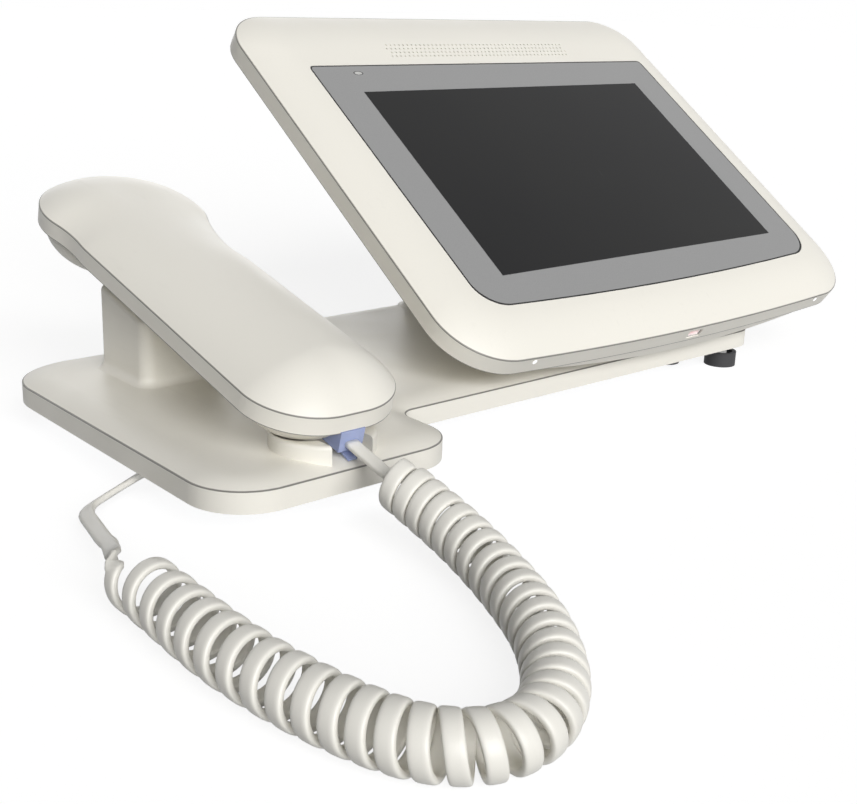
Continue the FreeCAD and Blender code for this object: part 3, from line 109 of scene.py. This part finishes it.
# The coil's middle line: turn number, then place.
AXIS = [
    (1.0, -.1701, -.1533, .0240), (2.42, -.1686, -.1632, .0203), (4.35, -.1682, -.1783, .0161),
    (6.27, -.1702, -.1946, .0129), (8.18, -.1755, -.2134, .0110), (10.1, -.1830, -.2315, .0107),
    (12.1, -.1922, -.2492, .0107), (14.13, -.2040, -.2655, .0107), (16.36, -.2175, -.2783, .0107),
    (18.55, -.2328, -.2850, .0107), (20.17, -.2455, -.2840, .0107), (21.75, -.2560, -.2773, .0107),
    (24.8, -.2673, -.2560, .0108), (27.85, -.2734, -.2286, .0111), (30.9, -.2761, -.1965, .01135),
    (34.0, -.2750, -.1615, .0114), (36.0, -.2740, -.1352, .0111),
]
axis_of = [natural_spline(AXIS, k) for k in (1, 2, 3)]
TURN_FIRST, TURN_LAST, PER_TURN = 0.5, 35.65, 16
# The winding's half width: turn number, then distance from the middle line.
coil_half = natural_spline([(0, .0092), (12, .0092), (19, .0089), (26, .0094), (31, .0099), (36, .0098)], 1)
# The first turn opens from this share of its width, over this much of a turn.
OPEN_FROM, OPEN_OVER = 0.45, 0.45
# From this turn on the coil stays with the station; the handset's share ends over so many turns before it.
FOLLOW_END, FOLLOW_OVER = 13.0, 12.0
# The flat cord's section, and how square it is across its width and its thickness.
WIDE, THICK = 0.0063, 0.0028
SQUARE_WIDE, SQUARE_THICK = 0.52, 0.60
SECTION_POINTS = 20


def axis_frame(u):
    middle = Vector([f(u) for f in axis_of])
    along = (Vector([f(u + 0.01) for f in axis_of]) - middle).normalized()
    up = (UPWARD - along * along.z).normalized()
    return middle, along, up, along.cross(up)


def coil_point(u, half):
    middle, along, up, side = axis_frame(u)
    a = -2 * math.pi * u
    return middle + (side * math.cos(a) + up * math.sin(a)) * half


# Each control point: place, direction of the ribbon's width, share that follows the handset.
lead_start = Vector((-.1680, -.11851, .03083))
lead_way = Vector((0, -.96682, -.25545))
control = []
for far in (0, .005, .010, .015):
    control.append((lead_start + lead_way * far, RIGHT, 1.0))
control.append((lead_start + lead_way * .0215, Vector((1, -.1, 0)), 1.0))
control.append((lead_start + lead_way * .0270 + Vector((.0012, 0, 0)), Vector((.8, -.5, 0)), 1.0))
count = int(round((TURN_LAST - TURN_FIRST) * PER_TURN))
# The curve runs inside its control points, so they lie this much further out.
swell = 1 / math.cos(math.pi / PER_TURN)
for k in range(count + 1):
    u = TURN_FIRST + k / PER_TURN
    follow = max(0.0, min(1.0, (FOLLOW_END - u) / FOLLOW_OVER))
    follow = follow * follow * (3 - 2 * follow)
    opening = min(1.0, OPEN_FROM + (u - TURN_FIRST) / OPEN_OVER)
    control.append((coil_point(u, coil_half(u) * swell * opening), axis_frame(u)[1], follow))

# The tail: up from the last turn, one fold, and back under the plate.
flat_on = Vector((.94, -.22, .26))
oblique = Vector((.28, -.74, .61))
level = Vector((.426, -.905, 0))
for place, way in (
    ((-.2690, -.1120, .0125), flat_on),
    ((-.2685, -.1070, .0114), flat_on),
    ((-.2620, -.0850, .0082), flat_on),
    ((-.2562, -.0640, .0052), flat_on + oblique),
    ((-.2420, -.0568, .0060), oblique),
    ((-.2193, -.0460, .0074), oblique + level * 0.5),
    ((-.2030, -.0383, .0070), level),
    ((-.1885, -.0315, .0070), level),
):
    control.append((Vector(place), way, 0.0))

line = bpy.data.curves.new("route", "CURVE")
line.dimensions = "3D"
spline = line.splines.new("NURBS")
spline.points.add(len(control) - 1)
for point, (place, way, follow) in zip(spline.points, control):
    point.co = (*(place + ZERO), 1)
spline.order_u = 3
spline.use_endpoint_u = True
line.resolution_u = 4
holder = bpy.data.objects.new("route", line)
scene.collection.objects.link(holder)
bpy.context.view_layer.update()
read = bpy.data.meshes.new_from_object(holder)
route = [v.co.copy() for v in read.vertices]
bpy.data.objects.remove(holder)
bpy.data.meshes.remove(read)
bpy.data.curves.remove(line)


def ribbon(name, points):
    """The flat cord's mesh along the points read from the route."""
    last = len(points) - 1
    step = 360 / SECTION_POINTS
    section = []
    for k in range(SECTION_POINTS):
        a = math.radians(step * (k + 0.5))
        x, y = math.cos(a), math.sin(a)
        section.append((math.copysign(abs(x) ** SQUARE_WIDE, x) * WIDE / 2,
                        math.copysign(abs(y) ** SQUARE_THICK, y) * THICK / 2))
    verts, faces, follows = [], [], []
    size = SECTION_POINTS
    length = 0.0
    for i, p in enumerate(points):
        # the two control points that this point lies between
        at = i / last * (len(control) - 2) + 0.5
        j = min(max(int(at), 0), len(control) - 2)
        w = min(max(at - j, 0.0), 1.0)
        a, b = control[j], control[j + 1]
        tangent = (points[min(i + 1, last)] - points[max(i - 1, 0)]).normalized()
        wide = a[1].normalized() * (1 - w) + b[1].normalized() * w
        wide = (wide - tangent * wide.dot(tangent)).normalized()
        thick = tangent.cross(wide)
        if i:
            length += (p - points[i - 1]).length
        for x, y in section:
            verts.append(p + wide * x + thick * y)
            follows.append(a[2] * (1 - w) + b[2] * w)
    for i in range(last):
        for k in range(size):
            m = (k + 1) % size
            faces.append((i * size + k, i * size + m, (i + 1) * size + m, (i + 1) * size + k))
    faces.append(tuple(reversed(range(size))))
    faces.append(tuple(last * size + k for k in range(size)))
    return add_mesh(name, verts, faces), follows, length


cord, cord_follows, cord_length = ribbon("flat_cord", route)
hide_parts("cord_lead", "cord_coil", "cord_tail")
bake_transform(cord)
# The curls lie side by side, so the share goes by the cord's own run rather than by place.
print("cord length", round(cord_length, 4))


# Materials

class Finish:
    """A material under construction: its tree, its shader and small node helpers."""

    def __init__(self, name, colour, rough, **more):
        self.material = bpy.data.materials.new(name)
        self.material.use_nodes = True
        self.tree = self.material.node_tree
        self.body = self.tree.nodes["Principled BSDF"]
        self.body.inputs["Base Color"].default_value = (*colour, 1)
        self.body.inputs["Roughness"].default_value = rough
        for key, value in more.items():
            self.body.inputs[key.replace("_", " ")].default_value = value
        self.where = self.node("TexCoord").outputs["Object"]

    def node(self, kind, **settings):
        made = self.tree.nodes.new("ShaderNode" + kind)
        for key, value in settings.items():
            setattr(made, key, value)
        return made

    def join(self, source, socket):
        self.tree.links.new(source, socket)

    def math(self, operation, first, second=0.0):
        made = self.node("Math", operation=operation)
        for socket, value in zip(made.inputs, (first, second)):
            if isinstance(value, (int, float)):
                socket.default_value = value
            else:
                self.join(value, socket)
        return made.outputs[0]

    def noise(self, scale, detail=3.0, stretch=None):
        made = self.node("TexNoise")
        made.inputs["Scale"].default_value = scale
        made.inputs["Detail"].default_value = detail
        source = self.where
        if stretch:
            turn = self.node("Mapping")
            turn.inputs["Rotation"].default_value = stretch[1]
            turn.inputs["Scale"].default_value = stretch[0]
            self.join(self.where, turn.inputs["Vector"])
            source = turn.outputs["Vector"]
        self.join(source, made.inputs["Vector"])
        return made.outputs["Fac"]

    def span(self, value, low, high, to_low, to_high):
        made = self.node("MapRange")
        for key, number in (("From Min", low), ("From Max", high), ("To Min", to_low), ("To Max", to_high)):
            made.inputs[key].default_value = number
        self.join(value, made.inputs["Value"])
        return made.outputs["Result"]

    def mix(self, share, first, second):
        made = self.node("MixRGB")
        self.join(share, made.inputs["Fac"])
        for socket, value in ((made.inputs[1], first), (made.inputs[2], second)):
            if isinstance(value, tuple):
                socket.default_value = (*value, 1)
            else:
                self.join(value, socket)
        return made.outputs["Color"]

    def along(self, way, start=0.0):
        """How far a point lies along a direction, in metres."""
        made = self.node("VectorMath", operation="DOT_PRODUCT")
        self.join(self.where, made.inputs[0])
        made.inputs[1].default_value = way
        return self.math("SUBTRACT", made.outputs["Value"], start)

    def rounded(self, first, first_half, second, second_half, radius):
        """Distance out of a rounded corner between two edges, below 0 inside."""
        near = [self.math("MAXIMUM", self.math("SUBTRACT", a, h - radius), 0.0)
                for a, h in ((first, first_half), (second, second_half))]
        square = self.math("ADD", self.math("POWER", near[0], 2.0), self.math("POWER", near[1], 2.0))
        return self.math("SUBTRACT", self.math("SQRT", square), radius)

    def bump(self, height, distance):
        made = self.node("Bump")
        made.inputs["Strength"].default_value = 1
        made.inputs["Distance"].default_value = distance
        self.join(height, made.inputs["Height"])
        self.join(made.outputs["Normal"], self.body.inputs["Normal"])


def scaled(colour, share):
    return tuple(min(1.0, c * share) for c in colour)


def moulded(name, colour, rough, cloud=0.012, grain=0.000006, grain_scale=1500.0, scuff=0.10, shadow_lines=(),
            **more):
    """Moulded plastic: fine spark grain, faint cloudiness, scuffs and painted shadow lines at set levels,
    dark lines standing for the shade in creases and joints.
    """
    f = Finish(name, colour, rough, **more)
    soft = f.noise(9.0, 2.0)
    tint = f.mix(f.span(soft, 0.3, 0.7, 0.0, 1.0), scaled(colour, 1 - cloud), scaled(colour, 1 + cloud))
    speck = f.span(f.noise(700.0, 2.0), 0.62, 0.75, 0.0, 0.05)
    tint = f.mix(speck, tint, scaled(colour, 0.7))
    rub = f.math("MULTIPLY", f.span(f.noise(55.0, 4.0, ((6, .35, 6), (.3, .2, .7))), 0.60, 0.72, 0.0, 1.0),
                 f.span(f.noise(14.0, 1.0), 0.5, 0.65, 0.0, 1.0))
    tint = f.mix(f.math("MULTIPLY", rub, 0.10), tint, scaled(colour, 0.8))
    height = f.noise(grain_scale, 2.0)
    # painted shadow: each set level gets a dark line standing for the shade in a crease or joint
    for way, start, half in shadow_lines:
        near = f.math("ABSOLUTE", f.along(way, start))
        line = f.span(near, half * 0.6, half * 1.25, 1.0, 0.0)
        tint = f.mix(f.math("MULTIPLY", line, 0.86), tint, scaled(colour, 0.12))
    f.join(tint, f.body.inputs["Base Color"])
    even = f.span(f.noise(60.0, 3.0), 0.3, 0.7, rough - 0.04, rough + 0.04)
    f.join(f.math("ADD", even, f.math("MULTIPLY", rub, scuff)), f.body.inputs["Roughness"])
    f.bump(height, grain)
    return f.material


def metal(name, colour, rough, brushed=(1, 1, 1), bump=0.000004, **more):
    """Bare or plated metal with fine drawn lines and small stains."""
    f = Finish(name, colour, rough, Metallic=1.0, **more)
    grain = f.noise(900.0, 3.0, (brushed, (0, 0, 0)))
    stain = f.span(f.noise(40.0, 4.0), 0.45, 0.75, 0.0, 1.0)
    f.join(f.mix(stain, colour, scaled(colour, 0.82)), f.body.inputs["Base Color"])
    even = f.span(grain, 0.3, 0.7, rough - 0.06, rough + 0.06)
    f.join(f.math("ADD", even, f.math("MULTIPLY", stain, 0.08)), f.body.inputs["Roughness"])
    f.bump(grain, bump)
    return f.material


# Directions of the tilted display and of the resting handset, and a place on each.
TILT, SLOPE = math.radians(35), math.radians(14.8)
DISPLAY_AT = Vector((.0755, .0067, .1190)) + ZERO
HANDSET_AT = Vector((-.1680, -.12155, .04389)) + ZERO
display_up = Vector((0, math.cos(TILT), math.sin(TILT)))
display_out = Vector((0, -math.sin(TILT), math.cos(TILT)))
handset_out = Vector((0, -math.sin(SLOPE), math.cos(SLOPE)))


def display_level(b):
    return display_out, display_out.dot(DISPLAY_AT) + b


def handset_level(t):
    return handset_out, handset_out.dot(HANDSET_AT) + t


IVORY = (0.885, 0.858, 0.782)
# Half width of the painted shadow lines, dark lines standing for the shade in creases and joints, and where
# they run:
# the plate's edge, the display's edge and the joint behind its band, the handset's edge and the joint below
# its band.
SHADOW_LINE_HALF = 0.00034
plate_edge_shadow = (UPWARD, .0220, SHADOW_LINE_HALF * 0.8)
display_edge_shadow, display_joint_shadow = (*display_level(-.0080), SHADOW_LINE_HALF), (*display_level(-.0173), SHADOW_LINE_HALF)
handset_edge_shadow, handset_joint_shadow = (*handset_level(0), SHADOW_LINE_HALF), (*handset_level(-.008), SHADOW_LINE_HALF)

ivory_base = moulded("ivory_base", IVORY, 0.44, shadow_lines=(plate_edge_shadow,))
ivory_front = moulded("ivory_display_front", IVORY, 0.44, shadow_lines=(display_edge_shadow, display_joint_shadow))
ivory_back = moulded("ivory_display_back", IVORY, 0.46, shadow_lines=(display_joint_shadow,))
ivory_hand = moulded("ivory_handset", IVORY, 0.40, shadow_lines=(handset_edge_shadow, handset_joint_shadow))
jacket = moulded("ivory_jacket", (0.885, 0.865, 0.80), 0.40, cloud=0.02, grain=0.000004, grain_scale=900.0)
clear = moulded("clear_blue_plastic", (0.50, 0.58, 0.90), 0.12, cloud=0.03, grain=0.000002,
                Transmission_Weight=0.30)
lamp = moulded("lamp_lens", (0.95, 0.95, 0.94), 0.22, grain=0.000002, Emission_Color=(1, 1, 1, 1),
               Emission_Strength=0.6)
socket = moulded("socket_black", (0.03, 0.03, 0.03), 0.45, cloud=0.1)
rubber = moulded("foot_rubber", (0.040, 0.040, 0.042), 0.72, cloud=0.15, grain=0.00002, grain_scale=1200.0)
nylon = moulded("post_nylon", (0.60, 0.60, 0.58), 0.5)
iron = moulded("painted_iron", (0.1, 0.1, 0.11), 0.6, cloud=0.1, grain=0.00003, grain_scale=500.0)
board = moulded("green_board", (0.03, 0.16, 0.08), 0.4, cloud=0.08)
panel = moulded("panel_back", (0.2, 0.2, 0.21), 0.5)
driver = moulded("driver_cone", (0.08, 0.08, 0.08), 0.6, cloud=0.1)
gold = metal("gold_contact", (0.85, 0.62, 0.25), 0.25)
zinc = metal("zinc_steel", (0.62, 0.63, 0.65), 0.35, brushed=(.2, 3, 1))


# The lit area and the glass, from the display's middle: how far down their middles lie, and half their sizes.
LIT_DOWN, LIT_HALF_X, LIT_HALF_UP, LIT_SOFT = .0150, .10855, .06785, .00025
GLASS_DOWN, GLASS_HALF_X, GLASS_HALF_UP = .01485, .1318, .08945
# The glass's corner radii and the radius of its bowed lower edge.
CORNER_LOW, CORNER_TOP, BOW = .0165, .0030, 2.15


def window_glass():
    """Cover glass: grey printed border, dark lit area, finger marks and a few fine scratches."""
    f = Finish("cover_glass", (0.33, 0.33, 0.33), 0.12, Specular_IOR_Level=0.08)
    aside = f.math("ABSOLUTE", f.along(RIGHT, DISPLAY_AT.x))
    middle = display_up.dot(DISPLAY_AT)
    upward = f.math("ABSOLUTE", f.along(display_up, middle - LIT_DOWN))
    inside = f.math("MULTIPLY", f.span(aside, LIT_HALF_X, LIT_HALF_X + LIT_SOFT, 1.0, 0.0),
                    f.span(upward, LIT_HALF_UP, LIT_HALF_UP + LIT_SOFT, 1.0, 0.0))
    grain = f.span(f.noise(1800.0, 2.0), 0.3, 0.7, 0.0, 1.0)
    border = f.mix(grain, (0.325, 0.325, 0.325), (0.345, 0.345, 0.345))
    cloudy = f.span(f.noise(7.0, 2.0), 0.35, 0.65, 0.0, 1.0)
    dark = f.mix(cloudy, (0.016, 0.016, 0.017), (0.019, 0.019, 0.019))
    # painted shadow: a dark line where the glass meets its gap, standing for the shade in that gap
    rise = f.along(display_up, middle - GLASS_DOWN)
    sink = f.math("SUBTRACT", f.math("MULTIPLY", f.math("POWER", aside, 2.0), .5 / BOW), rise)
    edge = f.math("MAXIMUM", f.rounded(aside, GLASS_HALF_X, sink, GLASS_HALF_UP, CORNER_LOW),
                  f.rounded(aside, GLASS_HALF_X, rise, GLASS_HALF_UP, CORNER_TOP))
    line = f.span(edge, -.0009, -.0006, 0.0, 1.0)
    f.join(f.mix(line, f.mix(inside, border, dark), (.03, .03, .03)), f.body.inputs["Base Color"])
    marks = f.math("MULTIPLY", f.span(f.noise(28.0, 5.0), 0.52, 0.66, 0.0, 0.16),
                   f.span(f.noise(11.0, 1.0), 0.5, 0.6, 0.0, 1.0))
    lines = f.span(f.noise(90.0, 2.0, ((7, .25, .25), (.2, 0, .5))), 0.70, 0.74, 0.0, 0.12)
    f.join(f.math("ADD", f.math("ADD", marks, lines), 0.10), f.body.inputs["Roughness"])
    f.bump(f.noise(30.0, 1.0), 0.00001)
    return f.material


def extent(name, way):
    """Middle and half size of a node along a direction."""
    far = [way.dot(v.co) for v in nodes[name].data.vertices]
    return (min(far) + max(far)) / 2, (max(far) - min(far)) / 2


def sensor_lens():
    """Oval window: pale in the middle, with a dark rim."""
    f = Finish("sensor_lens", (.5, .5, .48), 0.15)
    square = None
    for way in (RIGHT, display_up):
        middle, half = extent("sensor_window", way)
        part = f.math("POWER", f.math("ABSOLUTE", f.math("DIVIDE", f.along(way, middle), half)), 2.0)
        square = f.math("ADD", square, part) if square else part
    rim = f.span(f.math("SQRT", square), .70, .82, 0.0, 1.0)
    pale = f.mix(f.span(f.noise(400.0, 2.0), 0.3, 0.7, 0.0, 1.0), (.50, .50, .48), (.60, .60, .58))
    f.join(f.mix(rim, pale, (.05, .05, .05)), f.body.inputs["Base Color"])
    f.join(f.span(f.noise(300.0, 2.0), 0.3, 0.7, 0.10, 0.20), f.body.inputs["Roughness"])
    return f.material


def port_insert_painted_glow():
    """Service port: pale insert with a dark outer edge and a red tongue; the insert also glows faintly, a
    painted light that makes it look bright in its shaded recess.
    """
    # painted light: an emission strength of 0.25 makes the insert glow though it is no lamp
    f = Finish("port_insert_painted_glow", (.8, .75, .74), 0.4, Emission_Strength=0.25)
    across, across_half = extent("service_port", RIGHT)
    level, level_half = extent("service_port", display_out)
    aside = f.math("ABSOLUTE", f.along(RIGHT, across))
    upward = f.math("ABSOLUTE", f.along(display_out, level))
    edge = f.math("MAXIMUM", f.span(aside, across_half - .0009, across_half - .0007, 0.0, 1.0),
                  f.span(upward, level_half - .0005, level_half - .0003, 0.0, 1.0))
    tongue = f.math("MULTIPLY", f.span(aside, .0034, .0036, 1.0, 0.0),
                    f.span(upward, .0006, .0008, 1.0, 0.0))
    pale = f.mix(f.span(f.noise(500.0, 2.0), 0.3, 0.7, 0.0, 1.0), (.80, .75, .74), (.86, .80, .79))
    insert_colour_and_glow = f.mix(edge, f.mix(tongue, pale, (.48, .03, .05)), (.02, .02, .02))
    f.join(insert_colour_and_glow, f.body.inputs["Base Color"])
    # painted light: the insert's own colour is also fed to its glow
    f.join(insert_colour_and_glow, f.body.inputs["Emission Color"])
    f.join(f.span(f.noise(300.0, 2.0), 0.3, 0.7, 0.35, 0.48), f.body.inputs["Roughness"])
    f.bump(f.noise(1500.0, 2.0), 0.000004)
    return f.material


for names, material in (
    (("base_cover",), ivory_base),
    (("display_bezel",), ivory_front),
    (("display_rear_shell",), ivory_back),
    (("handset_back_shell", "handset_face_shell"), ivory_hand),
    (("cord_lead", "cord_coil", "cord_tail"), jacket),
    (("plug_body", "plug_latch", "tail_plug"), clear),
    (("plug_contacts",), gold),
    (("cover_glass",), window_glass()),
    (("sensor_window",), sensor_lens()),
    (("status_lamps",), lamp),
    (("service_port",), port_insert_painted_glow()),
    (("cord_socket", "network_jack", "handset_jack", "hook_switch"), socket),
    (("foot_cups",), rubber),
    (("foot_posts", "hook_plunger"), nylon),
    (("base_plate", "hook_bracket", "display_bracket", "panel_frame", "base_screws", "foot_screws",
      "bracket_screws", "handset_weight"), zinc),
    (("base_ballast",), iron),
    (("main_board",), board),
    (("lcd_panel",), panel),
    (("speaker", "earpiece_capsule", "mic_capsule"), driver),
):
    for n in names:
        slots = nodes[n].material_slots
        if not len(slots):
            nodes[n].data.materials.append(material)
        for s in slots:
            s.material = material
cord.data.materials.append(jacket)


# Floor and light

# Strength of the soft sun, of the weak one from behind and of the sky, and where the suns stand.
SUN, FILL, SKY = 0.95, 0.20, 0.13
SUN_WAY = Vector((-.25, -.86, .42)).normalized()
FILL_WAY = Vector((.50, .85, .07)).normalized()
SUN_ANGLE = 0.8
# The floor's shade for light that bounces off it, and for the camera, where only its shadow shows.
FLOOR_BOUNCE, FLOOR_SEEN = 0.15, 0.30
FAR = 8

corners = [(-FAR, -FAR, 0), (FAR, -FAR, 0), (FAR, FAR, 0), (-FAR, FAR, 0)]
floor = add_mesh("floor", corners, [(0, 1, 2, 3)], False)
ground = bpy.data.materials.new("floor")
ground.use_nodes = True
gt = ground.node_tree
gt.nodes.remove(gt.nodes["Principled BSDF"])
matt, pale, shine = [gt.nodes.new("ShaderNode" + k) for k in ("BsdfDiffuse", "BsdfDiffuse", "Emission")]
matt.inputs["Color"].default_value = (FLOOR_BOUNCE, FLOOR_BOUNCE, FLOOR_BOUNCE, 1)
pale.inputs["Color"].default_value = (FLOOR_SEEN, FLOOR_SEEN, FLOOR_SEEN, 1)
shine.inputs["Strength"].default_value = 1 - FLOOR_SEEN * (SUN * SUN_WAY.z + FILL * FILL_WAY.z + SKY)
seen = gt.nodes.new("ShaderNodeAddShader")
gt.links.new(pale.outputs[0], seen.inputs[0])
gt.links.new(shine.outputs[0], seen.inputs[1])


def shown(tree):
    """1 for rays of the camera and for those that mirror or pass through to what it sees."""
    path = tree.nodes.new("ShaderNodeLightPath")
    total = path.outputs["Is Camera Ray"]
    for key in ("Is Glossy Ray", "Is Transmission Ray"):
        made = tree.nodes.new("ShaderNodeMath")
        made.operation = "MAXIMUM"
        tree.links.new(total, made.inputs[0])
        tree.links.new(path.outputs[key], made.inputs[1])
        total = made.outputs[0]
    return total


pick = gt.nodes.new("ShaderNodeMixShader")
gt.links.new(shown(gt), pick.inputs["Fac"])
gt.links.new(matt.outputs[0], pick.inputs[1])
gt.links.new(seen.outputs[0], pick.inputs[2])
gt.links.new(pick.outputs[0], gt.nodes["Material Output"].inputs["Surface"])
floor.data.materials.append(ground)

world = bpy.data.worlds.new("world")
scene.world = world
world.use_nodes = True
wt = world.node_tree
sky = wt.nodes["Background"]
sky.inputs["Color"].default_value = (1, 1, 1, 1)
sky.inputs["Strength"].default_value = SKY
white = wt.nodes.new("ShaderNodeBackground")
white.inputs["Color"].default_value = (1, 1, 1, 1)
white.inputs["Strength"].default_value = 1.0
mix = wt.nodes.new("ShaderNodeMixShader")
wt.links.new(shown(wt), mix.inputs["Fac"])
wt.links.new(sky.outputs["Background"], mix.inputs[1])
wt.links.new(white.outputs["Background"], mix.inputs[2])
wt.links.new(mix.outputs["Shader"], wt.nodes["World Output"].inputs["Surface"])

for name, strength, way in (("softbox", SUN, SUN_WAY), ("fill", FILL, FILL_WAY)):
    sun = bpy.data.lights.new(name, "SUN")
    sun.energy = strength * math.pi
    sun.angle = SUN_ANGLE
    box = bpy.data.objects.new(name, sun)
    box.rotation_mode = "QUATERNION"
    box.rotation_quaternion = (-way).to_track_quat("-Z", "Y")
    scene.collection.objects.link(box)

scene.view_settings.view_transform = "Standard"
